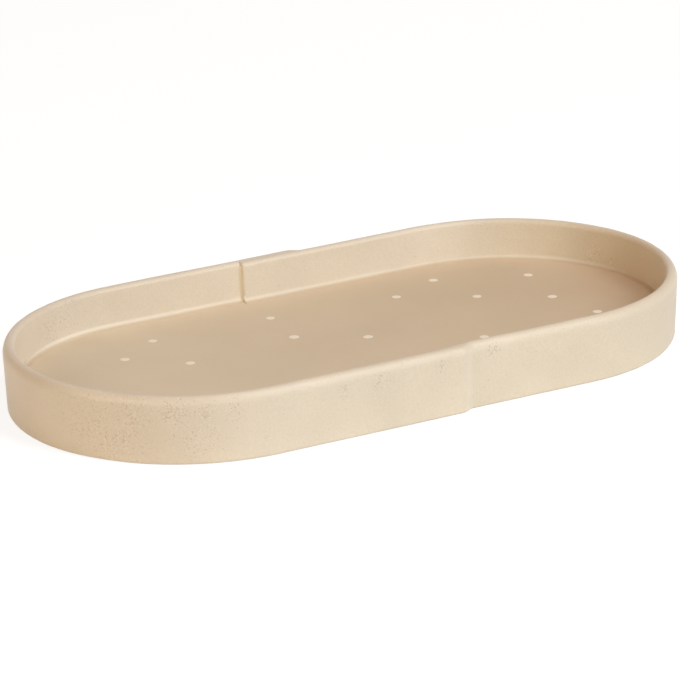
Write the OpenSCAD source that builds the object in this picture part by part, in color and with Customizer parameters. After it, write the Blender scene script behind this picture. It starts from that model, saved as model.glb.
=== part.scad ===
// Soap dish, slab built in stoneware: two lapped wall bands round a raised floor with dots of pale slip.
// Origin at the middle of the resting plane, X along the dish, front towards -Y, Z up.

/* [Overall] */
// Length over the rim
dish_length = 230; // [200:1:260]
// Width over the rim of the wider half
dish_width = 118; // [100:1:130]
// Height of the walls
wall_height = 22.1; // [19:0.1:30]

/* [Walls] */
// Thickness of a wall band
wall_thickness = 3.9; // [3:0.1:4.5]
// How far a wall leans outwards from its foot to its rim
wall_lean = 1; // [0.4:0.1:2]
// Radius of the rounded rim
rim_radius = 1.7; // [0.6:0.1:2]
// Radius of the rounded outer edge at the foot of the walls
foot_edge_radius = 1.2; // [0.8:0.1:2.2]

/* [Lap seams] */
// How far the left band stands outside the right band
lap_step = 2.1; // [1:0.1:2.8]
// Where the left band ends on the front, right of the middle
front_seam_x = 13.4; // [8:0.2:20]
// How far the bands overlap on the front
front_lap = 5.8; // [4:0.2:12]
// Length over which the left band's front end is thinned down
front_taper = 4; // [2:0.2:4]
// Where the left band ends on the back, right of the middle
back_seam_x = 15; // [8:0.2:20]
// How far the bands overlap on the back
back_lap = 23.2; // [12:0.2:30]
// Length over which the left band's back end is thinned down
back_taper = 4.6; // [2:0.2:8]

/* [Floor] */
// Height of the floor's upper face above the foot of the walls
floor_height = 8.7; // [7.6:0.1:11]
// Thickness of the floor
floor_thickness = 4.6; // [3.6:0.1:5]
// Slip joint left round the floor and the coils
slip_gap = 0.15; // [0.1:0.05:0.3]

/* [Slip dots] */
// Diameter of a dot of pale slip on the floor
dot_diameter = 3; // [2:0.1:4]
// How far a dot stands proud of the floor
dot_height = 0.12; // [0.08:0.02:0.3]

/* [Corner coils] */
// Radius of the hollow corner between the walls and the floor
corner_radius = 1.8; // [1.5:0.1:4]
// Thickness left along the thin edges of the corner coils
coil_lip = 0.25; // [0.2:0.05:0.4]
// Radius of the ledge coils that carry the floor
ledge_radius = 2.6; // [1.6:0.1:3]

/* [Hidden] */
$fn = 96;

clay_colour = "#e0ceb1";
floor_colour = "#cbb496";
coil_colour = "#d8c4a4";
slip_colour = "#f3e8d4";

// Overrun of a cutting shape past the face that it cuts
overrun = 1;
// Largest part of a wall's thickness that each side of the rounded rim takes
rim_share = 0.48;
// Largest part of a wall's thickness that the rounded foot edge takes
foot_edge_share = 0.6;

// Slip dots, scattered by hand: shares of the dish's length and width from its middle
dot_shares = [
    [-0.290, 0.210], [-0.222, 0.301], [-0.222, 0.083], [-0.038, 0.291], [-0.050, 0.117],
    [0.036, 0.005], [0.156, 0.253], [0.238, 0.321], [0.252, 0.131], [0.170, -0.172],
    [0.362, 0.210], [0.341, 0.015], [0.358, -0.164],
    [-0.334, -0.150], [-0.192, -0.248], [-0.062, -0.287], [0.067, -0.262], [0.236, -0.325]
];

rim_round = min(rim_radius, rim_share * wall_thickness);
foot_round = min(foot_edge_radius, foot_edge_share * wall_thickness);
lean_angle = atan(wall_lean / wall_height);

// Distances of the wall faces from the long axis, at the rim
left_outer = dish_width / 2;
left_inner = left_outer - wall_thickness;
right_outer = left_outer - lap_step;
right_inner = right_outer - wall_thickness;
lap_middle = (left_outer + right_inner) / 2;

// Centres of the round ends
left_centre = left_outer - dish_length / 2;
right_centre = dish_length / 2 - right_outer;

// Where the right band's inner ends lie
front_inner_x = front_seam_x - front_lap;
back_inner_x = back_seam_x - back_lap;

floor_underside = floor_height - floor_thickness;

// Distance from the long axis, at height z above the foot of the walls, of a face given at the rim
function face(at_rim, z) = at_rim - wall_lean * (1 - z / wall_height);

// Centres of the rounded corners of a wall's section
function rim_centre_z() = wall_height - rim_round;
function outer_rim_u(outer) = face(outer, rim_centre_z()) - rim_round / cos(lean_angle);
function inner_rim_u(inner) = face(inner, rim_centre_z()) + rim_round / cos(lean_angle);
function foot_u(outer) = face(outer, foot_round) - foot_round / cos(lean_angle);

// Section of a wall between an inner and an outer face, with its rim and foot edge rounded
module wall_section(inner, outer) {
    foot_point = [foot_u(outer), 0];
    foot_tangent = [
        foot_u(outer) + foot_round * cos(lean_angle),
        foot_round - foot_round * sin(lean_angle)
    ];
    outer_tangent = [
        outer_rim_u(outer) + rim_round * cos(lean_angle),
        rim_centre_z() - rim_round * sin(lean_angle)
    ];
    inner_tangent = [
        inner_rim_u(inner) - rim_round * cos(lean_angle),
        rim_centre_z() + rim_round * sin(lean_angle)
    ];
    polygon([
        [face(inner, 0), 0], foot_point, foot_tangent, outer_tangent,
        [outer_rim_u(outer), wall_height], [inner_rim_u(inner), wall_height], inner_tangent
    ]);
    translate([foot_u(outer), foot_round]) circle(r = foot_round);
    translate([outer_rim_u(outer), rim_centre_z()]) circle(r = rim_round);
    translate([inner_rim_u(inner), rim_centre_z()]) circle(r = rim_round);
}

// Half plane on the outer side of the face between two lapped bands
module outside_lap_face() {
    polygon([
        [face(lap_middle, -overrun), -overrun],
        [left_outer + overrun, -overrun],
        [left_outer + overrun, wall_height + overrun],
        [face(lap_middle, wall_height + overrun), wall_height + overrun]
    ]);
}

module outer_lap_section() {
    intersection() {
        wall_section(right_inner, left_outer);
        outside_lap_face();
    }
}

module inner_lap_section() {
    difference() {
        wall_section(right_inner, left_outer);
        outside_lap_face();
    }
}

// Straight stretch of a section along the back, between two places along X
module back_stretch(from_x, to_x) {
    translate([from_x, 0, 0]) rotate([90, 0, 90]) linear_extrude(to_x - from_x) children();
}

module front_stretch(from_x, to_x) {
    mirror([0, 1, 0]) back_stretch(from_x, to_x) children();
}

// A section carried round the left half, as far as the given places on the front and back
module round_left(front_x, back_x) {
    translate([left_centre, 0, 0]) rotate([0, 0, 90]) rotate_extrude(angle = 180) children();
    front_stretch(left_centre, front_x) children();
    back_stretch(left_centre, back_x) children();
}

module round_right(front_x, back_x) {
    translate([right_centre, 0, 0]) rotate([0, 0, -90]) rotate_extrude(angle = 180) children();
    front_stretch(front_x, right_centre) children();
    back_stretch(back_x, right_centre) children();
}

// Wedge that thins the left band's end from full thickness down to the right band's outer face
module lap_taper(start_x, end_x) {
    translate([0, face(right_outer, 0), 0])
        rotate([-lean_angle, 0, 0])
            translate([0, 0, -overrun])
                linear_extrude(wall_height + 3 * overrun)
                    polygon([
                        [start_x, lap_step],
                        [end_x, 0],
                        [end_x + overrun, 0],
                        [end_x + overrun, lap_step + overrun],
                        [start_x, lap_step + overrun]
                    ]);
}

module left_wall_band() {
    color(clay_colour) {
        round_left(front_inner_x, back_inner_x) wall_section(left_inner, left_outer);
        difference() {
            back_stretch(back_inner_x, back_seam_x) outer_lap_section();
            lap_taper(back_seam_x - back_taper, back_seam_x);
        }
        difference() {
            front_stretch(front_inner_x, front_seam_x) outer_lap_section();
            mirror([0, 1, 0]) lap_taper(front_seam_x - front_taper, front_seam_x);
        }
    }
}

module right_wall_band() {
    color(clay_colour) {
        round_right(front_seam_x, back_seam_x) wall_section(right_inner, right_outer);
        back_stretch(back_inner_x, back_seam_x) inner_lap_section();
        front_stretch(front_inner_x, front_seam_x) inner_lap_section();
    }
}

// Section of the floor out to a wall's inner face, less the slip joint
module floor_section(inner) {
    polygon([
        [0, floor_underside],
        [face(inner, floor_underside) - slip_gap, floor_underside],
        [face(inner, floor_height) - slip_gap, floor_height],
        [0, floor_height]
    ]);
}

module floor_plate() {
    color(floor_colour) {
        round_left(front_inner_x, back_inner_x) floor_section(left_inner);
        round_right(front_inner_x, back_inner_x) floor_section(right_inner);
    }
}

module slip_dots() {
    color(slip_colour)
        for (place = dot_shares)
            translate([place.x * dish_length, place.y * dish_width, floor_height])
                cylinder(d = dot_diameter, h = dot_height);
}

// Section of the coil that is pressed into the corner above the floor and smoothed hollow
module corner_section(inner) {
    hollow = corner_radius + coil_lip;
    hollow_z = floor_height + hollow;
    wall_u = face(inner, hollow_z) - slip_gap;
    hollow_u = wall_u - hollow / cos(lean_angle);
    difference() {
        polygon([
            [hollow_u, floor_height],
            [face(inner, floor_height) - slip_gap, floor_height],
            [wall_u, hollow_z],
            [hollow_u, hollow_z]
        ]);
        translate([hollow_u, hollow_z]) circle(r = corner_radius);
    }
}

// Section of the coil under the floor's edge, a quarter round against the wall
module ledge_section(inner) {
    corner_u = face(inner, floor_underside) - slip_gap;
    foot_z = floor_underside - ledge_radius;
    intersection() {
        translate([corner_u, floor_underside]) circle(r = ledge_radius);
        polygon([
            [corner_u - ledge_radius - overrun, foot_z - overrun],
            [face(inner, foot_z - overrun) - slip_gap, foot_z - overrun],
            [corner_u, floor_underside],
            [corner_u - ledge_radius - overrun, floor_underside]
        ]);
    }
}

module left_corner_coil() {
    color(coil_colour) round_left(front_inner_x, back_inner_x) corner_section(left_inner);
}

module right_corner_coil() {
    color(coil_colour) round_right(front_inner_x, back_inner_x) corner_section(right_inner);
}

module left_ledge_coil() {
    color(coil_colour) round_left(front_inner_x, back_inner_x) ledge_section(left_inner);
}

module right_ledge_coil() {
    color(coil_colour) round_right(front_inner_x, back_inner_x) ledge_section(right_inner);
}

left_wall_band();
right_wall_band();
floor_plate();
slip_dots();
left_corner_coil();
right_corner_coil();
left_ledge_coil();
right_ledge_coil();
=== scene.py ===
"""Looks of the soap dish: hand-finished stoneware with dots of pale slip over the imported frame.

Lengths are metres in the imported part's own frame: X along the dish, the front towards -Y, Z up.
"""

import logging
import math
from dataclasses import dataclass
from enum import Enum
from typing import Any

import bmesh
import bpy
from mathutils import Matrix, Vector, geometry, noise


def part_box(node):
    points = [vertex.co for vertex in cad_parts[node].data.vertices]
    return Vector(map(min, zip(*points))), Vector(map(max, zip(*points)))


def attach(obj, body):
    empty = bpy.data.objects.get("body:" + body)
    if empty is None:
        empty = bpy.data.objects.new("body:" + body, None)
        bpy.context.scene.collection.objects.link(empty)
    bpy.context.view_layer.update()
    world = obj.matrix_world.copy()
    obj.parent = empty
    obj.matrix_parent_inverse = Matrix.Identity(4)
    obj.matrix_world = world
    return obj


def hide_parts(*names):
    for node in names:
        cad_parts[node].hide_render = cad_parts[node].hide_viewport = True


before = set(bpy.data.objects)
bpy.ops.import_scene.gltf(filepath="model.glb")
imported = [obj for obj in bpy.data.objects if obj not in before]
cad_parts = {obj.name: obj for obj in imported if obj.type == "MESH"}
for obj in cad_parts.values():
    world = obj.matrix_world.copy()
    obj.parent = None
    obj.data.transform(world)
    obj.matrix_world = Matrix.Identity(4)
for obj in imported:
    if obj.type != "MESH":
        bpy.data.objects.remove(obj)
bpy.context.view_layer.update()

MM = 0.001
BODY = "root"
# Seed of the clay's unevenness, so that every run gives the same dish
HAND_SEED = 4
# Distances within which a point counts as on a face or as another point
TOUCHING = 0.01 * MM
SAME_POINT = 0.001 * MM

# Slip dots, scattered by hand: shares of the dish's length and width from its middle
DOT_SHARES = [
    (-0.290, 0.210), (-0.222, 0.301), (-0.222, 0.083), (-0.038, 0.291), (-0.050, 0.117),
    (0.036, 0.005), (0.156, 0.253), (0.238, 0.321), (0.252, 0.131), (0.170, -0.172),
    (0.362, 0.210), (0.341, 0.015), (0.358, -0.164),
    (-0.334, -0.150), (-0.192, -0.248), (-0.062, -0.287), (0.067, -0.262), (0.236, -0.325),
]

# Inputs of the Mix node when it mixes colours, which share their names with its other kinds
MIX_FACTOR, MIX_A, MIX_B = 0, 6, 7
# Nearly all of a noise texture's values lie between these
NOISE_LOW, NOISE_HIGH = 0.25, 0.75

Piece = bpy.types.Object
Material = bpy.types.Material
Tree = bpy.types.NodeTree
Node = bpy.types.Node
Socket = bpy.types.NodeSocket
Outline = list[tuple[float, float]]

log = logging.getLogger("soap_dish")


class Half(Enum):
    """The half of the dish that a wall band, with its coils, goes round."""

    LEFT = -1
    RIGHT = 1


class Side(Enum):
    """The long side of the dish that a straight stretch lies on."""

    FRONT = -1
    BACK = 1


def blend(first: float, second: float, share: float) -> float:
    """Value at a share of the way from the first to the second."""
    return first + (second - first) * share


def eased(share: float) -> float:
    """Turns a share from 0 to 1 into one that starts and stops gently."""
    share = min(1.0, max(0.0, share))
    return share * share * (3 - 2 * share)


def steps(start: float, stop: float, spacing: float) -> list[float]:
    """Places from one to another, both among them, evenly spread at about the spacing."""
    count = max(1, round(abs(stop - start) / spacing))
    return [start + (stop - start) * i / count for i in range(count + 1)]


@dataclass(frozen=True)
class Station:
    """A place along the walls: a point of the long axis and the level way out from it."""

    x: float
    out_x: float
    out_y: float
    # The long side that it is on, or None on a round end
    side: Side | None = None
    # Whether the two bands overlap there
    lapped: bool = False

    def point(self, out: float, z: float) -> Vector:
        """Point at a distance out from the axis and a height."""
        return Vector((self.x + self.out_x * out, self.out_y * out, z))


def straight(side: Side, places: list[float], lapped: bool = False) -> list[Station]:
    """Stations on a long side at the given places along X."""
    return [Station(x, 0.0, float(side.value), side, lapped) for x in places]


@dataclass(frozen=True)
class DishPlan:
    """Sizes that the dish's pieces share, read from the frame's boxes."""

    left_reach: float
    right_reach: float
    left_centre_x: float
    right_centre_x: float
    foot_z: float
    rim_z: float
    floor_under_z: float
    floor_top_z: float
    front_inner_x: float
    back_inner_x: float
    back_seam_x: float
    length: float
    width: float
    left_thickness: float = 4.0 * MM
    right_thickness: float = 3.7 * MM
    wall_lean: float = 1 * MM
    front_lap: float = 5.8 * MM
    # Length over which the front seam was smeared over, and its part past the left band's end
    front_smear: float = 4.8 * MM
    front_smear_past: float = 0.4 * MM
    back_taper: float = 4.6 * MM
    # Length over which the inner step at the front seam is smoothed out, and its part to the left
    front_ease: float = 18 * MM
    front_ease_left: float = 8 * MM
    # Length, height and share of the inner step at the back seam that a thumb has pressed away
    press_length: float = 9 * MM
    press_height: float = 5 * MM
    press_share: float = 0.12
    # Slip that was smeared into the corner of that step: how far it reaches along and out
    slip_reach: float = 1.3 * MM
    slip_share: float = 0.45
    # What the wobble of the clay may take up inside the frame's box
    hand_allowance: float = 0.16 * MM
    ring_spacing: float = 1.2 * MM
    slip_spacing: float = 0.16 * MM

    @classmethod
    def from_frame(cls) -> "DishPlan":
        """Reads the plan from the boxes of the frame's nodes.

        Returns:
            The plan, with the allowance taken off the reach and the height.
        """
        left_low, left_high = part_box("left_wall_band")
        right_low, right_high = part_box("right_wall_band")
        floor_low, floor_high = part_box("floor_plate")
        slack = cls.hand_allowance
        return cls(
            left_reach=left_high.y - slack,
            right_reach=right_high.y - slack,
            left_centre_x=left_low.x + left_high.y,
            right_centre_x=right_high.x - right_high.y,
            foot_z=left_low.z,
            rim_z=left_high.z - slack,
            floor_under_z=floor_low.z,
            floor_top_z=floor_high.z,
            front_inner_x=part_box("left_corner_coil")[1].x,
            back_inner_x=right_low.x,
            back_seam_x=left_high.x,
            length=right_high.x - left_low.x,
            width=2 * left_high.y,
        )

    @property
    def left_inner(self) -> float:
        """Inner face of the left band at the rim."""
        return self.left_reach - self.left_thickness

    @property
    def right_inner(self) -> float:
        """Inner face of the right band at the rim."""
        return self.right_reach - self.right_thickness

    @property
    def lap_middle(self) -> float:
        """Face between the two bands where they overlap, at the rim."""
        return (self.left_reach + self.right_inner) / 2

    @property
    def front_seam_x(self) -> float:
        """Where the left band ends on the front."""
        return self.front_inner_x + self.front_lap

    def face(self, at_rim: float, z: float) -> float:
        """Place at height z of a wall face that is given at the rim."""
        return at_rim - self.wall_lean * (self.rim_z - z) / (self.rim_z - self.foot_z)

    def inner_face(self, half: Half, station: Station) -> float:
        """Inner face of the wall at the rim.

        Args:
            half: The half whose band has the face.
            station: The place along the walls.

        Returns:
            Its distance from the long axis.
        """
        if station.side is Side.FRONT:
            share = eased((station.x - self.front_inner_x + self.front_ease_left) / self.front_ease)
            return blend(self.left_inner, self.right_inner, share)
        return self.left_inner if half is Half.LEFT else self.right_inner

    def outer_face(self, half: Half, station: Station) -> float:
        """Outer face of the whole wall at the rim.

        Args:
            half: The half of the dish.
            station: The place along the walls.

        Returns:
            Its distance from the long axis.
        """
        if station.side is None:
            return self.left_reach if half is Half.LEFT else self.right_reach
        seam_x, taper = self.back_seam_x, self.back_taper
        if station.side is Side.FRONT:
            seam_x, taper = self.front_seam_x + self.front_smear_past, self.front_smear
        return blend(self.left_reach, self.right_reach, eased((station.x - seam_x + taper) / taper))

    def pressed_in(self, half: Half, station: Station, z: float) -> float:
        """How far the inner face is pressed in beside the back seam, low on the left band.

        Args:
            half: The half whose band has the face.
            station: The place along the walls.
            z: Height.

        Returns:
            The distance towards the long axis.
        """
        if half is Half.RIGHT or station.side is not Side.BACK:
            return 0.0
        before = self.back_inner_x - station.x
        along = eased(1 - before / self.press_length)
        up = eased(1 - (z - self.floor_top_z) / self.press_height)
        corner = max(0.0, 1 - before / self.slip_reach)
        pressed = max(self.press_share * along * up, self.slip_share * corner * corner)
        return (self.left_inner - self.right_inner) * pressed

    def wall_above_floor(self, half: Half, station: Station) -> float:
        """Inner face of the wall as the floor and the coils meet it, given at the rim."""
        return self.inner_face(half, station) - self.pressed_in(half, station, self.floor_top_z)

    def end_stations(self, half: Half) -> list[Station]:
        """Stations round an end of the dish, clockwise from above.

        Args:
            half: Which end.

        Returns:
            The stations between the straight stretches, without the ones that start and stop them.
        """
        centre, start = self.left_centre_x, -math.pi / 2
        if half is Half.RIGHT:
            centre, start = self.right_centre_x, math.pi / 2
        count = round(math.pi * self.left_reach / self.ring_spacing)
        angles = [start - math.pi * i / count for i in range(1, count)]
        return [Station(centre, math.cos(angle), math.sin(angle)) for angle in angles]

    def inside_stations(self, half: Half) -> list[Station]:
        """Stations round the inside of one half, from seam to seam, clockwise from above.

        Args:
            half: Which half.

        Returns:
            The stations, closer together where slip fills the back seam's corner.
        """
        step = self.ring_spacing
        if half is Half.LEFT:
            filled_x = self.back_inner_x - self.slip_reach
            front = steps(self.front_inner_x, self.left_centre_x, step)
            back = steps(self.left_centre_x, filled_x, step)[:-1]
            back += steps(filled_x, self.back_inner_x, self.slip_spacing)
            return straight(Side.FRONT, front) + self.end_stations(half) + straight(Side.BACK, back)
        back = steps(self.back_inner_x, self.right_centre_x, step)
        front = steps(self.right_centre_x, self.front_inner_x, step)
        return straight(Side.BACK, back) + self.end_stations(half) + straight(Side.FRONT, front)


@dataclass(frozen=True)
class HandWobble:
    """Unevenness that hands leave in clay, one field in space so that all pieces still meet."""

    slow_size: float = 26 * MM
    slow_depth: float = 0.17 * MM
    quick_size: float = 5 * MM
    quick_depth: float = 0.04 * MM
    # Height over which the unevenness fades down to the sole, which was rubbed flat on a board
    rubbed: float = 3 * MM

    def moved(self, point: Vector, sponged: bool = False) -> Vector:
        """Moves a point of the ideal shape to where the hand-made one has it.

        Args:
            point: The ideal point.
            sponged: True where a sponge has taken the small unevenness off.

        Returns:
            The moved point.
        """
        shift = noise.noise_vector(point / self.slow_size) * self.slow_depth
        if not sponged:
            shift += noise.noise_vector(point / self.quick_size) * self.quick_depth
        shift.z *= eased(point.z / self.rubbed)
        return point + shift


class MeshDraft:
    """Points and faces of one piece while it is being built."""

    def __init__(self, sharp_deg: float = 50) -> None:
        """Starts with nothing.

        Args:
            sharp_deg: Edges that turn by more than this stay crisp.
        """
        self.sharp_deg = sharp_deg
        self.points: list[Vector] = []
        self.faces: list[list[int]] = []

    def add_points(self, points: list[Vector]) -> list[int]:
        """Adds points and returns their numbers."""
        self.points.extend(points)
        return list(range(len(self.points) - len(points), len(self.points)))

    def bridge(self, ring: list[int], following: list[int]) -> None:
        """Joins two closed rings of as many points by faces."""
        for i, j in zip(range(len(ring)), [*range(1, len(ring)), 0]):
            self.faces.append([ring[i], ring[j], following[j], following[i]])

    def tube(self, rings: list[list[Vector]]) -> None:
        """Joins closed rings into a tube with both ends capped.

        Args:
            rings: The rings in order, each of as many points.
        """
        numbered = [self.add_points(ring) for ring in rings]
        for ring, following in zip(numbered, numbered[1:]):
            self.bridge(ring, following)
        self.faces.append(numbered[0][::-1])
        self.faces.append(numbered[-1])

    def build(self, name: str) -> Piece:
        """Makes the Blender object.

        Args:
            name: Name of the piece.

        Returns:
            The object, in the scene, with smooth faces that point outwards.
        """
        mesh = bpy.data.meshes.new(name)
        mesh.from_pydata(self.points, [], self.faces)
        shaping = bmesh.new()
        shaping.from_mesh(mesh)
        bmesh.ops.remove_doubles(shaping, verts=shaping.verts, dist=SAME_POINT)
        bmesh.ops.recalc_face_normals(shaping, faces=shaping.faces)
        shaping.to_mesh(mesh)
        shaping.free()
        mesh.polygons.foreach_set("use_smooth", [True] * len(mesh.polygons))
        mesh.set_sharp_from_angle(angle=math.radians(self.sharp_deg))
        made = bpy.data.objects.new(name, mesh)
        bpy.context.scene.collection.objects.link(made)
        return made


@dataclass(frozen=True)
class ClayPiece:
    """A piece of the dish, which stands for one node of the frame."""

    plan: DishPlan
    wobble: HandWobble

    def draft(self) -> MeshDraft:
        """Shapes the piece, given by each kind of piece."""
        raise NotImplementedError

    def add(self, name: str, node: str, slot: str, material: Material) -> None:
        """Builds the piece, gives it its finish and puts it in the place of its frame node.

        Args:
            name: Name of the piece.
            node: Frame node that it stands for.
            slot: The record's material slot; not used.
            material: Blender material for the whole piece.
        """
        piece = self.draft().build(name)
        piece.data.materials.append(material)
        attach(piece, BODY)
        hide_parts(node)
        log.info("%s: %d faces, stands for %s", piece.name, len(piece.data.polygons), node)


@dataclass(frozen=True)
class Rounding:
    """A rounded edge in section: a quarter of an ellipse."""

    across: float
    down: float
    # Share of its width that it keeps however far its face is drawn in
    least_share: float = 0.2

    def drawn_in(self, inset: float, room: float) -> "Rounding":
        """The rounding after its face has been drawn in, kept within the room across."""
        across = min(max(self.across - inset, self.least_share * self.across), room)
        return Rounding(across, self.down)


@dataclass(frozen=True)
class RoundedFace:
    """A level face between two edges that are each rounded off."""

    low: float
    high: float
    low_edge: Rounding
    high_edge: Rounding
    # Share of the face's points that each rounded edge takes
    arc_share: float = 0.42

    def at(self, share: float) -> tuple[float, float]:
        """A point of the face.

        Args:
            share: Share of the face's points that lie before it.

        Returns:
            Its place across the face, and its drop below the face's level.
        """
        edges = ((self.low, 1, self.low_edge, share), (self.high, -1, self.high_edge, 1 - share))
        for end, way, edge, passed in edges:
            if passed < self.arc_share:
                turn = passed / self.arc_share * math.pi / 2
                inwards = edge.across * (1 - math.cos(turn))
                return end + way * inwards, edge.down * (1 - math.sin(turn))
        flat_share = (share - self.arc_share) / (1 - 2 * self.arc_share)
        flat_low = self.low + self.low_edge.across
        return blend(flat_low, self.high - self.high_edge.across, flat_share), 0.0

    def share_of(self, place: float) -> float:
        """Share of the face's points that lie before a place across it.

        Args:
            place: The place across the face.

        Returns:
            The share.
        """
        low_across, high_across = self.low_edge.across, self.high_edge.across
        edges = ((0, 1, place - self.low, low_across), (1, -1, self.high - place, high_across))
        for end, way, away, across in edges:
            if away < across:
                turn = math.acos(1 - max(0.0, away) / across)
                return end + way * (self.arc_share * turn * 2 / math.pi)
        flat = self.high - high_across - self.low - low_across
        return self.arc_share + (1 - 2 * self.arc_share) * (place - self.low - low_across) / flat


@dataclass(frozen=True)
class WallSection:
    """Section of the wall at one station, and the part of it that one band fills."""

    inner: float
    outer: float
    low: float
    high: float
    # How far the rounding of a band's end has drawn the faces in
    inset: float = 0.0

    inner_rim: Rounding = Rounding(1.4 * MM, 1.6 * MM)
    outer_rim: Rounding = Rounding(2.2 * MM, 3.2 * MM)
    outer_foot: Rounding = Rounding(1.0 * MM, 1.0 * MM)
    inner_foot: Rounding = Rounding(0.5 * MM, 0.5 * MM)
    # Shares of the wall's thickness that the roundings may take
    inner_room: float = 0.36
    outer_room: float = 0.62
    crown_points: int = 33
    side_points: int = 18
    sole_points: int = 15

    def outline(self, plan: DishPlan) -> Outline:
        """Points round the section, each a distance out and a height.

        Args:
            plan: The dish's sizes.

        Returns:
            The closed outline: up the inner face, over the rim, down the outer face, under.
        """
        top = self._across(self.inner_rim, self.outer_rim, self.crown_points)
        bottom = self._across(self.inner_foot, self.outer_foot, self.sole_points)
        rim = [(out, plan.rim_z - self.inset - drop) for out, drop in top]
        under = [(out, plan.foot_z + self.inset + drop) for out, drop in reversed(bottom)]
        loop = self._side(under[-1], rim[0]) + rim + self._side(rim[-1], under[0]) + under
        return [(plan.face(out, z), z) for out, z in loop]

    def _across(self, inner_edge: Rounding, outer_edge: Rounding, count: int) -> Outline:
        """Points of the rim or the sole, as far as the band fills it.

        Args:
            inner_edge: Rounding at the wall's inner face.
            outer_edge: Rounding at its outer face.
            count: How many points.

        Returns:
            The points from the inside out, each a distance out and a drop.
        """
        inner, outer = self.inner + self.inset, self.outer - self.inset
        face = RoundedFace(
            inner, outer,
            inner_edge.drawn_in(self.inset, self.inner_room * (outer - inner)),
            outer_edge.drawn_in(self.inset, self.outer_room * (outer - inner)),
        )
        first, last = face.share_of(max(self.low, inner)), face.share_of(min(self.high, outer))
        return [face.at(first + (last - first) * i / (count - 1)) for i in range(count)]

    def _side(self, start: tuple[float, float], stop: tuple[float, float]) -> Outline:
        """Points between two corners, without the corners."""
        shares = [i / (self.side_points + 1) for i in range(1, self.side_points + 1)]
        return [(blend(start[0], stop[0], s), blend(start[1], stop[1], s)) for s in shares]


@dataclass(frozen=True)
class WallBand(ClayPiece):
    """One of the two bands of clay that are lapped into the wall."""

    half: Half
    # Radius of the right band's back end, which is crisper than the smoothed ends outside
    back_end_round: float = 0.8 * MM
    # Length of that end over which the sections stand close together, and their spacing
    tip_length: float = 1.2 * MM
    tip_spacing: float = 0.15 * MM

    def _stations(self) -> list[Station]:
        """Stations of the band, clockwise from above.

        Returns:
            The stations from one end to the other; where the lap starts there are two.
        """
        plan, step = self.plan, self.plan.ring_spacing
        lap = steps(plan.front_seam_x, plan.front_inner_x, step / 4)
        front_lap = straight(Side.FRONT, lap, lapped=True)
        if self.half is Half.LEFT:
            lap = steps(plan.back_inner_x, plan.back_seam_x, step / 2)
            return front_lap + plan.inside_stations(self.half) + straight(Side.BACK, lap, lapped=True)
        lap = steps(plan.back_inner_x, plan.back_inner_x + self.tip_length, self.tip_spacing)
        lap = lap[:-1] + steps(lap[-1], plan.back_seam_x, step / 2)
        back = straight(Side.BACK, lap, lapped=True)
        back += straight(Side.BACK, steps(plan.back_seam_x, plan.right_centre_x, step))
        front = straight(Side.FRONT, steps(plan.right_centre_x, plan.front_seam_x, step / 2))
        return back + plan.end_stations(self.half) + front + front_lap

    def _section(self, station: Station) -> WallSection:
        """Section of the band.

        Args:
            station: Where the section is.

        Returns:
            The whole wall's section and the part of it that the band fills.
        """
        plan = self.plan
        outer = plan.outer_face(self.half, station)
        if not station.lapped:
            inner = plan.inner_face(self.half, station)
            return WallSection(inner, outer, inner, outer)
        inner = plan.inner_face(Half.RIGHT, station)
        if self.half is Half.LEFT:
            return WallSection(inner, outer, plan.lap_middle, outer)
        inset = 0.0
        missing = self.back_end_round - (station.x - plan.back_inner_x)
        if station.side is Side.BACK and missing > 0:
            inset = self.back_end_round - math.sqrt(self.back_end_round ** 2 - missing ** 2)
        return WallSection(inner, outer, inner, plan.lap_middle, inset)

    def draft(self) -> MeshDraft:
        """Shapes the band as one closed sweep.

        Returns:
            Its points and faces.
        """
        rings = []
        for station in self._stations():
            section = self._section(station)
            ring = []
            for out, z in section.outline(self.plan):
                if out < self.plan.face(section.inner, z) + TOUCHING:
                    out -= self.plan.pressed_in(self.half, station, z)
                ring.append(self.wobble.moved(station.point(out, z)))
            rings.append(ring)
        draft = MeshDraft()
        draft.tube(rings)
        return draft


@dataclass(frozen=True)
class Coil(ClayPiece):
    """A coil of clay that is pressed along the inside of one half of the wall."""

    half: Half
    radius: float
    # How much fingers have changed the radius, and over what length
    press_depth: float
    press_length: float
    # Points round its quarter circle
    arc_points: int
    # Row of the noise that its presses follow
    noise_row: float
    # How far its edges run on into the corner behind it
    root: float = 0.4 * MM

    def turns(self) -> list[float]:
        """Angles of the points round the quarter circle."""
        return [math.pi / 2 * i / (self.arc_points - 1) for i in range(self.arc_points)]

    def sway(self, travelled: float) -> float:
        """Unevenness of the presses at a distance along the coil, from -1 to 1."""
        return noise.noise(Vector((travelled / self.press_length, self.half.value, self.noise_row)))

    def outline(self, wall: float, travelled: float) -> Outline:
        """Section at a wall face and a distance along the coil, given by each kind of coil."""
        raise NotImplementedError

    def draft(self) -> MeshDraft:
        """Shapes the coil as one closed sweep.

        Returns:
            Its points and faces.
        """
        rings = []
        travelled = 0.0
        before = None
        for station in self.plan.inside_stations(self.half):
            wall = self.plan.wall_above_floor(self.half, station)
            here = station.point(wall, 0.0)
            travelled += (here - before).length if before is not None else 0.0
            before = here
            outline = self.outline(wall, travelled)
            rings.append([self.wobble.moved(station.point(out, z)) for out, z in outline])
        draft = MeshDraft()
        draft.tube(rings)
        return draft


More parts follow.
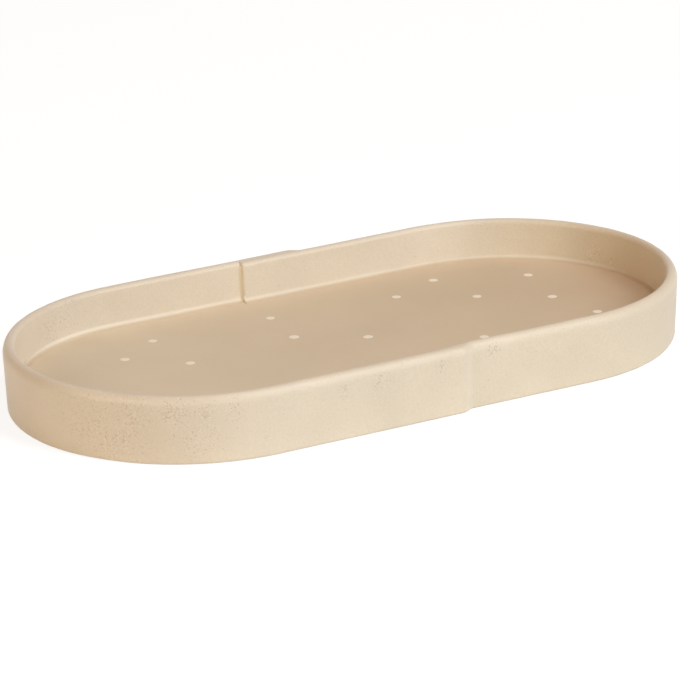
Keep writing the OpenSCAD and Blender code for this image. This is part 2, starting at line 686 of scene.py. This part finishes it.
@dataclass(frozen=True)
class CornerCoil(Coil):
    """The coil above the floor's edge, smoothed hollow with a fingertip."""

    radius: float = 2.0 * MM
    press_depth: float = 0.2 * MM
    press_length: float = 17 * MM
    arc_points: int = 14
    noise_row: float = 0.0
    # How far the thin edges run on under the faces that they are smoothed into
    buried: float = 0.03 * MM

    def outline(self, wall: float, travelled: float) -> Outline:
        """Section of the coil: a hollow quarter round, with its root in the corner.

        Args:
            wall: Inner face of the wall there, given at the rim.
            travelled: Distance along the coil so far.

        Returns:
            The closed outline, each point a distance out and a height.
        """
        radius = self.radius + self.press_depth * self.sway(travelled)
        floor_z = self.plan.floor_top_z
        wall_out = self.plan.face(wall, floor_z + radius)
        out, z = wall_out - radius + self.buried, floor_z + radius - self.buried
        hollow = [(out + radius * math.sin(turn), z - radius * math.cos(turn)) for turn in self.turns()]
        behind, below = wall_out + self.root, floor_z - self.root
        return hollow + [(behind, z), (behind, below), (out, below)]


@dataclass(frozen=True)
class LedgeCoil(Coil):
    """The coil under the floor's edge, left round with the dents of fingertips."""

    radius: float = 2.45 * MM
    press_depth: float = 0.15 * MM
    press_length: float = 9 * MM
    arc_points: int = 12
    noise_row: float = 7.0
    # How much the dents' places vary, as an angle to each unit of unevenness
    press_sway: float = 2.0

    def outline(self, wall: float, travelled: float) -> Outline:
        """Section of the coil: a quarter round against the wall, with its root in the corner.

        Args:
            wall: Inner face of the wall there, given at the rim.
            travelled: Distance along the coil so far.

        Returns:
            The closed outline, each point a distance out and a height.
        """
        shift = self.press_sway * self.sway(travelled)
        pressed = math.cos(2 * math.pi * travelled / self.press_length + shift)
        radius = self.radius + self.press_depth * pressed
        top = self.plan.floor_under_z
        out = self.plan.face(wall, top)
        arc = [(out - radius * math.cos(turn), top - radius * math.sin(turn)) for turn in self.turns()]
        behind, above = out + self.root, top + self.root
        return arc + [(behind, top - radius), (behind, above), (out - radius, above)]


@dataclass(frozen=True)
class FloorSlab(ClayPiece):
    """The raised floor, sponged flat."""

    # How far the slab's edge runs on into the walls
    tucked: float = 0.1 * MM
    # Spacing of the points inside the edge, and how clear of the edge they stay
    point_spacing: float = 2.4 * MM
    clearance: float = 1.1 * MM

    def _edge(self) -> list[Vector]:
        """Outline of the slab, clockwise from above.

        Returns:
            Points of the closed outline, none of them twice.
        """
        found: list[Vector] = []
        for half in Half:
            for station in self.plan.inside_stations(half):
                wall = self.plan.wall_above_floor(half, station)
                out = self.plan.face(wall, self.plan.floor_top_z) + self.tucked
                place = station.point(out, 0.0).to_2d()
                if not found or (place - found[-1]).length > TOUCHING:
                    found.append(place)
        if (found[0] - found[-1]).length < TOUCHING:
            found.pop()
        return found

    @staticmethod
    def _inside(place: Vector, edge: list[Vector]) -> bool:
        """Whether a place lies inside a closed outline.

        Args:
            place: The place.
            edge: Points of the outline in order.

        Returns:
            True inside it.
        """
        inside = False
        for start, stop in zip(edge, edge[1:] + edge[:1]):
            if (start.y > place.y) != (stop.y > place.y):
                crossing = start.x + (place.y - start.y) / (stop.y - start.y) * (stop.x - start.x)
                inside ^= place.x < crossing
        return inside

    def _scatter(self, edge: list[Vector]) -> list[Vector]:
        """Points inside the edge that let the slab undulate.

        Args:
            edge: Points of the slab's outline.

        Returns:
            The points, in rows that are shifted like bricks.
        """
        found = []
        along = steps(-self.plan.length / 2, self.plan.length / 2, self.point_spacing)
        across = steps(-self.plan.width / 2, self.plan.width / 2, self.point_spacing)
        for row, y in enumerate(across):
            for x in along:
                place = Vector((x + self.point_spacing / 2 * (row % 2), y))
                clear = min((place - corner).length for corner in edge) >= self.clearance
                if clear and self._inside(place, edge):
                    found.append(place)
        return found

    def draft(self) -> MeshDraft:
        """Shapes the slab: two triangulated faces and the edge between them.

        Returns:
            Its points and faces.
        """
        plan = self.plan
        edge = self._edge()
        bounds = [(i, (i + 1) % len(edge)) for i in range(len(edge))]
        places = edge + self._scatter(edge)
        _, _, triangles, origins, _, _ = geometry.delaunay_2d_cdt(places, bounds, [], 0, 0.0, True)
        draft = MeshDraft(sharp_deg=60)
        upper = draft.add_points([Vector((p.x, p.y, plan.floor_top_z)) for p in places])
        lower = draft.add_points([Vector((p.x, p.y, plan.floor_under_z)) for p in places])
        for triangle in triangles:
            corners = [origins[i][0] for i in triangle]
            middle = sum((places[i] for i in corners), Vector((0.0, 0.0))) / len(corners)
            if self._inside(middle, edge):
                draft.faces.append([upper[i] for i in corners])
                draft.faces.append([lower[i] for i in reversed(corners)])
        draft.bridge(upper[: len(edge)], lower[: len(edge)])
        draft.points = [self.wobble.moved(point, sponged=True) for point in draft.points]
        return draft


@dataclass(frozen=True)
class SlipDots(ClayPiece):
    """The dots of pale slip, each let fall from a nozzle and settled almost flat."""

    radius: float = 1.5 * MM
    # How far the dots differ in size, and over what distance
    size_sway: float = 0.16 * MM
    size_spread: float = 7 * MM
    # How far each is out of round
    edge_sway: float = 0.14 * MM
    height: float = 0.09 * MM
    # How far a dot's edge runs on under the floor's face
    bedded: float = 0.04 * MM
    sides: int = 40
    rings: int = 7

    def _ring(self, middle: Vector, share: float, z: float) -> list[Vector]:
        """Ring of one dot.

        Args:
            middle: The dot's middle.
            share: Share of the way out from the middle.
            z: Height.

        Returns:
            The ring's points.
        """
        size = self.radius + self.size_sway * noise.noise(middle / self.size_spread)
        found = []
        for i in range(self.sides):
            turn = 2 * math.pi * i / self.sides
            way = Vector((math.cos(turn), math.sin(turn), 0.0))
            uneven = self.edge_sway * noise.noise(middle / MM + way)
            place = middle + way * (size + uneven) * share
            found.append(self.wobble.moved(Vector((place.x, place.y, z)), sponged=True))
        return found

    def draft(self) -> MeshDraft:
        """Shapes all the dots, each a closed low dome.

        Returns:
            Its points and faces.
        """
        plan = self.plan
        draft = MeshDraft(sharp_deg=80)
        for along, across in DOT_SHARES:
            middle = Vector((along * plan.length, across * plan.width, plan.floor_top_z))
            rings = [self._ring(middle, 1.0, plan.floor_top_z - self.bedded)]
            for i in range(self.rings):
                turn = math.pi / 2 * i / self.rings
                top = plan.floor_top_z + self.height * math.sin(turn)
                rings.append(self._ring(middle, math.cos(turn), top))
            draft.tube(rings)
        return draft


def linear(code: str) -> tuple[float, float, float, float]:
    """Turns an sRGB hex colour into linear values.

    Args:
        code: Colour as "#rrggbb".

    Returns:
        Linear red, green, blue and an alpha of 1.
    """
    shares = [int(code[i : i + 2], 16) / 255 for i in (1, 3, 5)]
    parts = [s / 12.92 if s <= 0.04045 else ((s + 0.055) / 1.055) ** 2.4 for s in shares]
    return parts[0], parts[1], parts[2], 1.0


def per_metre(size_mm: float) -> float:
    """Texture scale at which one cell or wave of a pattern is a size in millimetres."""
    return 1 / (size_mm * MM)


def add_node(
    tree: Tree, kind: str, inputs: dict[str | int, Any] | None = None, **settings: Any
) -> Node:
    """Adds one node with its settings and links.

    Args:
        tree: Node tree that gets the node.
        kind: Blender's name for the type of node, less "ShaderNode".
        inputs: For inputs by name or number, a value to set, or a socket or a node to link; of a
            node, its first output that is in use.
        **settings: Values of the node's own properties.

    Returns:
        The new node.
    """
    made = tree.nodes.new("ShaderNode" + kind)
    for key, value in settings.items():
        setattr(made, key, value)
    for key, value in (inputs or {}).items():
        if isinstance(value, Node):
            value = next(output for output in value.outputs if output.enabled)
        if isinstance(value, Socket):
            tree.links.new(value, made.inputs[key])
        else:
            made.inputs[key].default_value = value
    return made


def layered(tree: Tree, colour: Any, layers: list[tuple[Any, Any]]) -> Node:
    """Lays colours over one another, each of them linear values or a node.

    Args:
        tree: The material's tree.
        colour: The lowest colour.
        layers: For each colour over it, the share that shows and the colour.

    Returns:
        Node of the colour that is seen.
    """
    for share, over in layers:
        inputs = {MIX_FACTOR: share, MIX_A: colour, MIX_B: over}
        colour = add_node(tree, "Mix", inputs, data_type="RGBA")
    return colour


def new_material(name: str) -> tuple[Material, Tree]:
    """Makes an empty node material.

    Args:
        name: Its name.

    Returns:
        The material and its tree.
    """
    material = bpy.data.materials.new(name)
    material.use_nodes = True
    material.node_tree.nodes.clear()
    return material, material.node_tree


@dataclass(frozen=True)
class Patch:
    """A part of the clay round a point, which fades out to its radius."""

    middle_mm: tuple[float, float, float]
    radius_mm: float
    strength: float = 1.0
    # Colour laid over the clay in the patch; the default brown is the colour of painted shade
    tint: str = "#b8835a"


@dataclass(frozen=True)
class StonewareFinish:
    """Sand-coloured stoneware under a thin satin-matte glaze, fired on hand-pressed slabs.

    The eye gets a dry, even skin with a low sheen where it turns over an edge, a slow drift in
    tone where the glaze is thicker or thinner, brown iron specks, blotches of iron that bled into
    the glaze in crowds, and pinholes where the clay's gas came out. Painted shade darkens it
    towards the right end, over the rim's top and in patches, and painted light pales other patches.
    """

    name: str
    # Colours at the dish's left and right ends; the right end's colour is darker as painted shade
    clay: str
    right_end_shade: str
    # Distance of either end from the dish's middle
    end_mm: float = 115.0
    # Colours lower down, if they differ, and the heights between which they change; on the coil they are
    # darker as painted shade in the corner above the floor
    low_shaded_clay: str = ""
    low_right_end_shade: str = ""
    low_mm: float = 8.85
    high_mm: float = 9.65
    # Patches of painted light and painted shade laid over the colour
    painted_patches: tuple[Patch, ...] = ()
    # Heights over which the rim's top turns towards brown as painted shade, and the share of brown there
    rim_mm: tuple[float, float] = (20.0, 21.6)
    rim_top_shade: float = 0.0
    # Tone shift of the slow drift and of the fine grain, as shares of the clay's brightness
    drift: float = 0.05
    grain: float = 0.05
    drift_mm: float = 28.0
    grain_mm: float = 0.7
    speck: str = "#94775a"
    speck_strength: float = 0.24
    # Real iron specks and pinholes are mostly under 0.2 mm; they are drawn 0.4 mm across, so that
    # they show, and fade out between these shares of their radius
    speck_cell_mm: float = 1.1
    speck_radius_mm: float = 0.21
    speck_fade: tuple[float, float] = (0.5, 1.2)
    # Cells by which the pinholes' grid is shifted from the specks'
    pit_shift: float = 11.0
    # Share of the cells that hold a speck, away from the crowds and in them
    speck_share: float = 0.03
    crowd_share: float = 0.2
    # Where spots and pinholes crowd
    crowds: tuple[Patch, ...] = ()
    # Small crowds that come anywhere: their size, and noise levels where they start and are full
    cluster_mm: float = 9.0
    cluster_levels: tuple[float, float] = (0.72, 0.84)
    # Iron that bled, and bare glaze beside it: the noise level over which each shows, away from
    # the crowds and in them, and how far over that level it is full
    blotch_mm: float = 0.7
    blotch_levels: tuple[float, float] = (0.75, 0.51)
    blotch_edge: float = 0.08
    blotch_strength: float = 0.3
    bare: str = "#f0e8dc"
    bare_strength: float = 0.4
    pit_depth_mm: float = 0.12
    grain_depth_share: float = 0.2
    roughness_low: float = 0.72
    roughness_high: float = 0.86
    refraction: float = 1.45

    def material(self) -> Material:
        """Builds the node material.

        Returns:
            The material.
        """
        material, tree = new_material(self.name)
        place = add_node(tree, "TexCoord").outputs["Object"]
        drift = add_node(tree, "TexNoise", {
            "Vector": place, "Scale": per_metre(self.drift_mm), "Detail": 2.0,
        })
        grain = add_node(tree, "TexNoise", {
            "Vector": place, "Scale": per_metre(self.grain_mm), "Detail": 3.0, "Roughness": 0.6,
        })
        colour = self._clay_with_painted_shade(tree, place)
        for field, sway in ((drift, self.drift), (grain, self.grain)):
            tone = add_node(tree, "MapRange", {
                "Value": field, "From Min": NOISE_LOW, "From Max": NOISE_HIGH,
                "To Min": 1 - sway, "To Max": 1 + sway,
            })
            colour = add_node(tree, "HueSaturation", {"Color": colour, "Value": tone})
        crowded = self._crowded(tree, place)
        bled, bared = self._blotches(tree, place, crowded)
        specks = self._dots(tree, place, crowded, 0.0, self.speck_strength)
        iron = linear(self.speck)
        colour = layered(tree, colour, [(bled, iron), (bared, linear(self.bare)), (specks, iron)])
        pits = self._dots(tree, place, crowded, self.pit_shift, -1.0)
        height = add_node(tree, "Math", {
            0: grain, 1: self.grain_depth_share, 2: pits,
        }, operation="MULTIPLY_ADD")
        bump = add_node(tree, "Bump", {"Height": height, "Distance": self.pit_depth_mm * MM})
        roughness = add_node(tree, "MapRange", {
            "Value": grain, "From Min": NOISE_LOW, "From Max": NOISE_HIGH,
            "To Min": self.roughness_low, "To Max": self.roughness_high,
        })
        shader = add_node(tree, "BsdfPrincipled", {
            "Base Color": colour, "Roughness": roughness, "Normal": bump, "IOR": self.refraction,
        })
        add_node(tree, "OutputMaterial", {"Surface": shader})
        return material

    def _clay_with_painted_shade(self, tree: Tree, place: Socket) -> Node:
        """The clay's colour, which turns slowly darker towards the right end as painted shade, with
        painted light and shade over it.

        Args:
            tree: The material's tree.
            place: Coordinates on the object.

        Returns:
            The colour's node.
        """
        axes = add_node(tree, "SeparateXYZ", {"Vector": place}).outputs
        along = add_node(tree, "MapRange", {
            "Value": axes["X"], "From Min": -self.end_mm * MM, "From Max": self.end_mm * MM,
        })
        # Painted shade: the colour darkens along X towards the right end
        fired = layered(tree, linear(self.clay), [(along, linear(self.right_end_shade))])
        # Painted shade: darker colours low down on the coil, in the corner above the floor
        if self.low_shaded_clay:
            low = layered(tree, linear(self.low_shaded_clay), [(along, linear(self.low_right_end_shade))])
            up = add_node(tree, "MapRange", {
                "Value": axes["Z"], "From Min": self.low_mm * MM, "From Max": self.high_mm * MM,
            }, interpolation_type="SMOOTHSTEP")
            fired = layered(tree, low, [(up, fired)])
        # Patches of painted light and painted shade
        painted_marks = [(self._near(tree, place, patch), linear(patch.tint)) for patch in self.painted_patches]
        # Painted shade: the rim's top darkened towards brown
        thin = add_node(tree, "MapRange", {
            "Value": axes["Z"], "From Min": self.rim_mm[0] * MM, "From Max": self.rim_mm[1] * MM,
            "To Max": self.rim_top_shade,
        })
        return layered(tree, fired, painted_marks + [(thin, linear(Patch.tint))])

    @staticmethod
    def _near(tree: Tree, place: Socket, patch: Patch) -> Node:
        """The strength of a patch at a place.

        Args:
            tree: The material's tree.
            place: Coordinates on the object.
            patch: The patch.

        Returns:
            Node of its strength in the middle, less further out and 0 from its radius on.
        """
        middle = Vector(patch.middle_mm) * MM
        away = add_node(tree, "VectorMath", {0: place, 1: middle}, operation="DISTANCE")
        return add_node(tree, "MapRange", {
            "Value": away, "From Max": patch.radius_mm * MM, "To Min": patch.strength, "To Max": 0.0,
        }, interpolation_type="SMOOTHSTEP")

    def _crowded(self, tree: Tree, place: Socket) -> Node:
        """How crowded the spots are, by the named crowds and by small clusters.

        Args:
            tree: The material's tree.
            place: Coordinates on the object.

        Returns:
            Node of a share from 0 to 1.
        """
        clusters = add_node(tree, "TexNoise", {
            "Vector": place, "Scale": per_metre(self.cluster_mm), "Detail": 2.0,
        })
        most = add_node(tree, "MapRange", {
            "Value": clusters,
            "From Min": self.cluster_levels[0], "From Max": self.cluster_levels[1],
        })
        for crowd in self.crowds:
            near = self._near(tree, place, crowd)
            most = add_node(tree, "Math", {0: most, 1: near}, operation="MAXIMUM")
        return most

    def _blotches(self, tree: Tree, place: Socket, crowded: Node) -> list[Node]:
        """Ragged blotches that fill more of the clay where spots crowd.

        Args:
            tree: The material's tree.
            place: Coordinates on the object.
            crowded: How crowded the spots are.

        Returns:
            How much iron that bled covers, and how much bare glaze does.
        """
        ragged = add_node(tree, "TexNoise", {
            "Vector": place, "Scale": per_metre(self.blotch_mm), "Detail": 2.0, "Roughness": 0.6,
        }).outputs["Color"]
        fields = add_node(tree, "SeparateColor", {"Color": ragged}).outputs
        level = add_node(tree, "MapRange", {
            "Value": crowded, "To Min": self.blotch_levels[0], "To Max": self.blotch_levels[1],
        })
        found = []
        for field, strength in (("Red", self.blotch_strength), ("Green", self.bare_strength)):
            over = add_node(tree, "Math", {0: fields[field], 1: level}, operation="SUBTRACT")
            found.append(add_node(tree, "MapRange", {
                "Value": over, "From Max": self.blotch_edge, "To Max": strength,
            }))
        return found

    def _dots(
        self, tree: Tree, place: Socket, crowded: Node, shift: float, strength: float
    ) -> Node:
        """Small round dots, one in some of the cells of a scattered grid.

        Args:
            tree: The material's tree.
            place: Coordinates on the object.
            crowded: How crowded the spots are.
            shift: Moves the grid, in cells, so that two sets of dots differ.
            strength: Value inside a dot.

        Returns:
            Node of the strength inside a dot and 0 outside it.
        """
        moved = add_node(tree, "Mapping", {
            "Vector": place, "Location": (shift,) * 3, "Scale": (per_metre(self.speck_cell_mm),) * 3,
        })
        cells = add_node(tree, "TexVoronoi", {"Vector": moved, "Scale": 1.0}).outputs
        radius = self.speck_radius_mm / self.speck_cell_mm
        disc = add_node(tree, "MapRange", {
            "Value": cells["Distance"], "To Min": strength, "To Max": 0.0,
            "From Min": self.speck_fade[0] * radius, "From Max": self.speck_fade[1] * radius,
        })
        share = add_node(tree, "MapRange", {
            "Value": crowded, "To Min": self.speck_share, "To Max": self.crowd_share,
        })
        chance = add_node(tree, "SeparateColor", {"Color": cells["Color"]}).outputs["Red"]
        chosen = add_node(tree, "Math", {0: chance, 1: share}, operation="LESS_THAN")
        return add_node(tree, "Math", {0: disc, 1: chosen}, operation="MULTIPLY")


@dataclass(frozen=True)
class SlipFinish:
    """Pale porcelain slip, a finer and whiter clay than the body, under the same thin glaze.

    The eye gets a smooth, slightly creamy white with no specks and a faint satin.
    """

    name: str
    slip: str = "#f6e9d6"
    tone: float = 0.03
    tone_mm: float = 0.8
    skin_depth_mm: float = 0.015
    roughness: float = 0.48
    refraction: float = 1.5

    def material(self) -> Material:
        """Builds the node material.

        Returns:
            The material.
        """
        material, tree = new_material(self.name)
        skin = add_node(tree, "TexNoise", {
            "Vector": add_node(tree, "TexCoord").outputs["Object"],
            "Scale": per_metre(self.tone_mm), "Detail": 3.0,
        })
        tone = add_node(tree, "MapRange", {
            "Value": skin, "From Min": NOISE_LOW, "From Max": NOISE_HIGH,
            "To Min": 1 - self.tone, "To Max": 1 + self.tone,
        })
        colour = add_node(tree, "HueSaturation", {"Color": linear(self.slip), "Value": tone})
        bump = add_node(tree, "Bump", {"Height": skin, "Distance": self.skin_depth_mm * MM})
        shader = add_node(tree, "BsdfPrincipled", {
            "Base Color": colour, "Roughness": self.roughness, "Normal": bump, "IOR": self.refraction,
        })
        add_node(tree, "OutputMaterial", {"Surface": shader})
        return material


def seen_directly(tree: Tree) -> Node:
    """Tells rays from the camera, a mirror or glass from rays that light the object.

    Args:
        tree: Tree of the table's or the room's material.

    Returns:
        Node of 1 for the former and 0 for the latter.
    """
    path = add_node(tree, "LightPath").outputs
    seen = path["Is Camera Ray"]
    for ray in ("Is Glossy Ray", "Is Transmission Ray"):
        seen = add_node(tree, "Math", {0: seen, 1: path[ray]}, operation="MAXIMUM")
    return seen


def way_to(azimuth_deg: float, elevation_deg: float) -> Vector:
    """Direction at an angle from the front, towards the right end, and one above the table."""
    turn, rise = math.radians(azimuth_deg), math.radians(elevation_deg)
    return Vector((math.sin(turn) * math.cos(rise), -math.cos(turn) * math.cos(rise), math.sin(rise)))


@dataclass(frozen=True)
class StudioTable:
    """The plain white surface that the dish stands on."""

    size: float = 6.0
    # A hair under the dish's foot, so that the two faces don't lie in one plane
    top_z: float = -0.02 * MM
    paint: str = "#f2f0ec"
    # Shares of the white that the camera sees: its own brightness, and the light that can be shaded
    glow: float = 0.84
    shaded: str = "#8c8c8c"

    def build(self) -> None:
        """Builds the table and marks it as stage."""
        half = self.size / 2
        around = ((-half, -half), (half, -half), (half, half), (-half, half))
        draft = MeshDraft()
        draft.faces.append(draft.add_points([Vector((x, y, self.top_z)) for x, y in around]))
        table = draft.build("studio_table")
        material, tree = new_material("matte white paint")
        lit = add_node(tree, "BsdfDiffuse", {"Color": linear(self.paint)})
        faint = add_node(tree, "BsdfDiffuse", {"Color": linear(self.shaded)})
        glow = add_node(tree, "Emission", {"Strength": self.glow})
        shown = add_node(tree, "AddShader", {0: faint, 1: glow})
        surface = add_node(tree, "MixShader", {0: seen_directly(tree), 1: lit, 2: shown})
        add_node(tree, "OutputMaterial", {"Surface": surface})
        table.data.materials.append(material)


@dataclass(frozen=True)
class StudioRoom:
    """The pale room round the table: white where it is seen, soft light where it isn't."""

    light: str = "#ffe2bf"
    strength: float = 0.24

    def build(self) -> None:
        """Sets the scene's world."""
        world = bpy.data.worlds.new("studio_room")
        bpy.context.scene.world = world
        world.use_nodes = True
        tree = world.node_tree
        tree.nodes.clear()
        soft, white = (
            add_node(tree, "Background", {"Color": linear(colour), "Strength": strength})
            for colour, strength in ((self.light, self.strength), ("#ffffff", 1.0))
        )
        mixed = add_node(tree, "MixShader", {0: seen_directly(tree), 1: soft, 2: white})
        add_node(tree, "OutputWorld", {"Surface": mixed})


@dataclass(frozen=True)
class SoftLamp:
    """A square soft box that faces the dish."""

    name: str
    azimuth_deg: float
    elevation_deg: float
    # Brightness that it gives to a white surface which faces it, 1 being white
    level: float
    width: float = 0.8
    distance: float = 1.6
    light: str = "#ffffff"

    def build(self) -> None:
        """Adds the lamp, aimed at the middle of the dish."""
        data = bpy.data.lights.new(self.name, "AREA")
        data.shape = "SQUARE"
        data.size = self.width
        data.energy = self.level * math.pi ** 2 * self.distance ** 2
        data.color = linear(self.light)[:3]
        lamp = bpy.data.objects.new(self.name, data)
        way = way_to(self.azimuth_deg, self.elevation_deg)
        lamp.location = way * self.distance
        lamp.rotation_mode = "QUATERNION"
        lamp.rotation_quaternion = (-way).to_track_quat("-Z", "Y")
        bpy.context.scene.collection.objects.link(lamp)


@dataclass(frozen=True)
class StudioCamera:
    """A long lens from the front left, a little above the dish."""

    azimuth_deg: float = -29.19
    elevation_deg: float = 19.15
    roll_deg: float = -1.53
    distance: float = 1648.8 * MM
    # Where the dish's middle, at the foot of its walls, lies from the middle of the view
    aside: float = -2.25 * MM
    above: float = 8.82 * MM
    lens_mm: float = 273.7
    sensor_mm: float = 36.0

    def build(self, target: Vector) -> None:
        """Adds the camera and makes it the scene's own.

        Args:
            target: The dish's middle at the foot of its walls.
        """
        roll = math.radians(self.roll_deg)
        back = way_to(self.azimuth_deg, self.elevation_deg)
        turn = math.radians(self.azimuth_deg)
        level = Vector((math.cos(turn), math.sin(turn), 0.0))
        up = back.cross(level)
        right = level * math.cos(roll) + up * math.sin(roll)
        top = up * math.cos(roll) - level * math.sin(roll)
        data = bpy.data.cameras.new("studio_camera")
        data.lens = self.lens_mm
        data.sensor_width = self.sensor_mm
        camera = bpy.data.objects.new("studio_camera", data)
        place = target + right * self.aside + top * self.above + back * self.distance
        rotation = Matrix((right, top, back)).transposed()
        camera.matrix_world = Matrix.Translation(place) @ rotation.to_4x4()
        bpy.context.scene.collection.objects.link(camera)
        bpy.context.scene.camera = camera


def clay_finishes() -> tuple[StonewareFinish, StonewareFinish, StonewareFinish]:
    """Finishes of the wall, the floor and the coils, which share patches of painted light and shade.

    Returns:
        The three, in that order.
    """
    # Cream of painted light and brown of painted shade, laid over the clay in patches
    painted_light_cream, painted_shade_brown = "#f4ecdf", "#a8906c"
    # Painted shade: warm brown over the left end, which faces away from the key lamp
    painted_shade_left_end = (
        Patch((-106, -28, 10), 60, 0.14), Patch((-109, 10, 14), 34, 0.18), Patch((-91, 42, 15), 30, 0.1),
    )
    # Painted shade: brown over the inside of the right end and the floor beside it, which the key lamp
    # hardly reaches
    painted_shade_right_end = (Patch((112, -2, 8), 42, 0.26), Patch((95, -46, 12), 44, 0.08))
    # Painted light: paler patches over the inside of the far wall, which faces the lamps
    painted_light_far_wall = (Patch((20, 52, 15), 110, 0.14, painted_light_cream), Patch((62, 52, 15), 42, 0.3, painted_light_cream))
    # Painted shade: brown where the floor meets the wall round the left end and its back, on the coil
    # and the floor
    painted_shade_on_coil = (Patch((-104, 25, 10), 40, 0.55, painted_shade_brown),)
    painted_shade_on_floor = (
        Patch((-104, 23, 9), 27, 0.32, painted_shade_brown), Patch((-89, 42, 9), 18, 0.22, painted_shade_brown),
        Patch((-72, 51, 9), 15, 0.2, painted_shade_brown),
    )
    spotted_corner = (Patch((106.5, 20.5, 12.5), 8), Patch((109, 13.6, 11.5), 6, 0.8))
    wall = StonewareFinish(
        "matte stoneware wall", clay="#e6dcca", right_end_shade="#dfd4bf",
        painted_patches=painted_shade_left_end + painted_shade_right_end + painted_light_far_wall, rim_top_shade=0.14,
        roughness_low=0.39, roughness_high=0.51,
        crowds=spotted_corner + (
            Patch((-106, -28, 12), 30, 0.8), Patch((-98, -40, 15), 20, 0.9), Patch((-88, -49, 17.5), 12),
            Patch((-79.5, -53.5, 17.6), 9), Patch((-71, -56.4, 17.6), 9), Patch((-101, -37, 6), 24, 0.9),
            Patch((-82, -52, 9), 24, 0.8), Patch((-34, -58, 17), 7, 0.9), Patch((-21, -58, 17), 8, 0.9),
            Patch((1, -58, 17.2), 7, 0.9), Patch((21, -57, 18), 8), Patch((-78, 48, 15), 26, 0.8),
        ),
    )
    floor = StonewareFinish(
        "sponged stoneware floor", clay="#e5d4bb", right_end_shade="#ceb79b", painted_patches=painted_shade_right_end + painted_shade_on_floor,
        drift=0.03, grain=0.02, speck_share=0.01, crowd_share=0.01,
        blotch_strength=0.0, bare_strength=0.0, grain_depth_share=0.08,
    )
    # Painted highlight: the coil's colour is paler than the wall's, for the light line along the fillet;
    # its colours low down are painted shade
    coil = StonewareFinish(
        "sponged stoneware coil", clay="#f2e9d8", right_end_shade="#dacfbb", low_shaded_clay="#d9c8ae",
        low_right_end_shade="#c9b296", painted_patches=painted_shade_left_end + painted_shade_right_end + painted_shade_on_coil, grain=0.03,
        speck_share=0.02, crowd_share=0.1, crowds=spotted_corner,
    )
    return wall, floor, coil


def main() -> None:
    """Builds and dresses every piece, then the studio round it."""
    logging.basicConfig(level=logging.INFO, format="%(name)s: %(message)s")
    noise.seed_set(HAND_SEED)
    plan = DishPlan.from_frame()
    wobble = HandWobble()
    wall_clay, floor_clay, coil_clay = (finish.material() for finish in clay_finishes())
    pale_slip = SlipFinish("pale porcelain slip").material()

    for half in Half:
        word = half.name.lower()
        for kind, name, node, slot, clay in (
            (WallBand, "wall_slab", "wall_band", "stoneware_wall", wall_clay),
            (CornerCoil, "corner_smoothing", "corner_coil", "stoneware_coil", coil_clay),
            (LedgeCoil, "ledge_roll", "ledge_coil", "stoneware_coil", coil_clay),
        ):
            kind(plan, wobble, half).add(f"{word}_{name}", f"{word}_{node}", slot, clay)
    FloorSlab(plan, wobble).add("floor_slab", "floor_plate", "stoneware_floor", floor_clay)
    SlipDots(plan, wobble).add("slip_drops", "slip_dots", "slip_pale", pale_slip)

    StudioTable().build()
    StudioRoom().build()
    SoftLamp("key_soft_box", azimuth_deg=26, elevation_deg=36, level=0.56, light="#f2f8ff").build()
    SoftLamp("top_soft_box", azimuth_deg=28, elevation_deg=68, level=0.23, width=0.35).build()
    SoftLamp("fill_soft_box", azimuth_deg=-72, elevation_deg=12, level=0.34, light="#ffecd0").build()
    StudioCamera().build(Vector((0.0, 0.0, plan.foot_z)))
    bpy.context.scene.view_settings.view_transform = "Standard"


if __name__ == "__main__":
    main()
